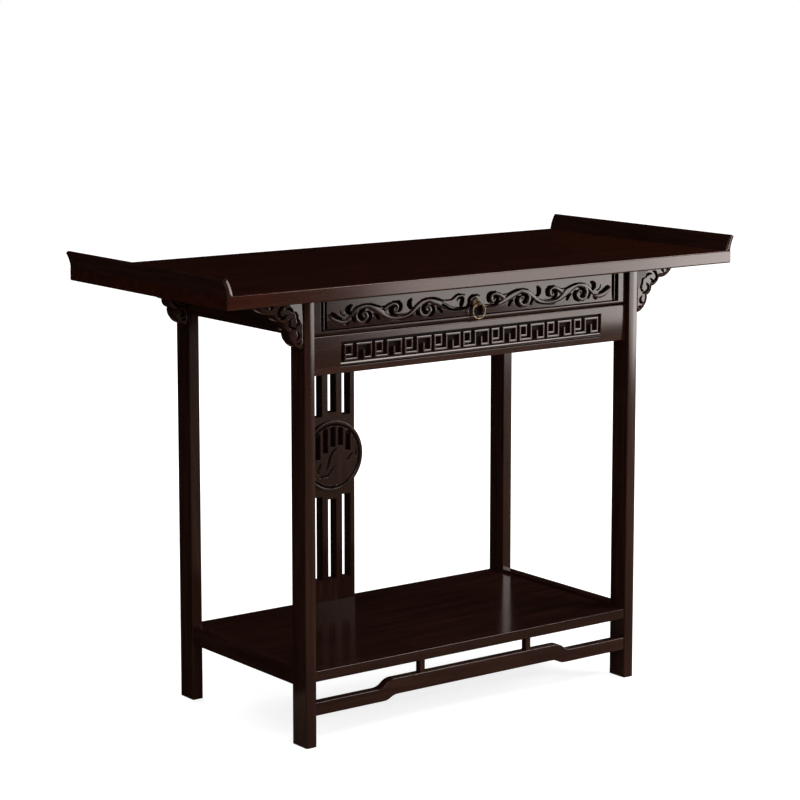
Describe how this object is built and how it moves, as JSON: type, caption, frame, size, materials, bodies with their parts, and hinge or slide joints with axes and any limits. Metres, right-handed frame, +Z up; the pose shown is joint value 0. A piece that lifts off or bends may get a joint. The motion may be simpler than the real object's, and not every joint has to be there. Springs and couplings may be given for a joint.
{
  "type": "altar table",
  "caption": "Long altar table in dark lacquered wood with everted ends, a carved drawer with a ring pull, a key-fret apron, scroll brackets, a pierced splat and an open shelf.",
  "frame": {"origin": "on the floor, under the middle of the top", "axes": "+X along the front to the right as seen from the front, +Y to the back, +Z up"},
  "size_m": [1.218, 0.546, 0.889],
  "materials": {
    "lacquered_wood": "dark red-brown lacquer, semi-gloss",
    "drawer_wood": "sealed secondary wood, matt",
    "aged_brass": "aged brass",
    "screw_steel": "plain steel"
  },
  "bodies": {
    "frame": {"top_board": "lacquered_wood", "left_everted_end": "lacquered_wood", "right_everted_end": "lacquered_wood", "leg_front_left": "lacquered_wood", "leg_front_right": "lacquered_wood", "leg_back_left": "lacquered_wood", "leg_back_right": "lacquered_wood", "front_apron": "lacquered_wood", "back_apron": "lacquered_wood", "left_side_apron": "lacquered_wood", "right_side_apron": "lacquered_wood", "bracket_front_left": "lacquered_wood", "bracket_front_right": "lacquered_wood", "bracket_back_left": "lacquered_wood", "bracket_back_right": "lacquered_wood", "shelf_board": "lacquered_wood", "left_shelf_rail": "lacquered_wood", "right_shelf_rail": "lacquered_wood", "hump_stretcher": "lacquered_wood", "left_strut": "lacquered_wood", "right_strut": "lacquered_wood", "splat_upper": "lacquered_wood", "splat_medallion": "lacquered_wood", "splat_lower": "lacquered_wood", "left_runner": "drawer_wood", "right_runner": "drawer_wood", "left_kicker": "drawer_wood", "right_kicker": "drawer_wood", "drawer_stops": "drawer_wood", "bracket_dowels": "drawer_wood", "splat_dowels": "drawer_wood", "top_screws": "screw_steel"},
    "drawer": {"drawer_front": "lacquered_wood", "drawer_left_side": "drawer_wood", "drawer_right_side": "drawer_wood", "drawer_back": "drawer_wood", "drawer_bottom": "drawer_wood", "pull_rosette": "aged_brass", "pull_post": "aged_brass", "pull_nut": "aged_brass"},
    "pull_ring": {"pull_ring": "aged_brass"}
  },
  "joints": [
    {"name": "drawer_slide", "type": "slide", "parent": "frame", "child": "drawer", "axis": [0, -1, 0], "range_m": [0, 0.25]},
    {"name": "ring_swing", "type": "hinge", "parent": "drawer", "child": "pull_ring", "pos_m": [0, -0.216, 0.7925], "axis": [-1, 0, 0], "range_deg": [0, 95]}
  ]
}
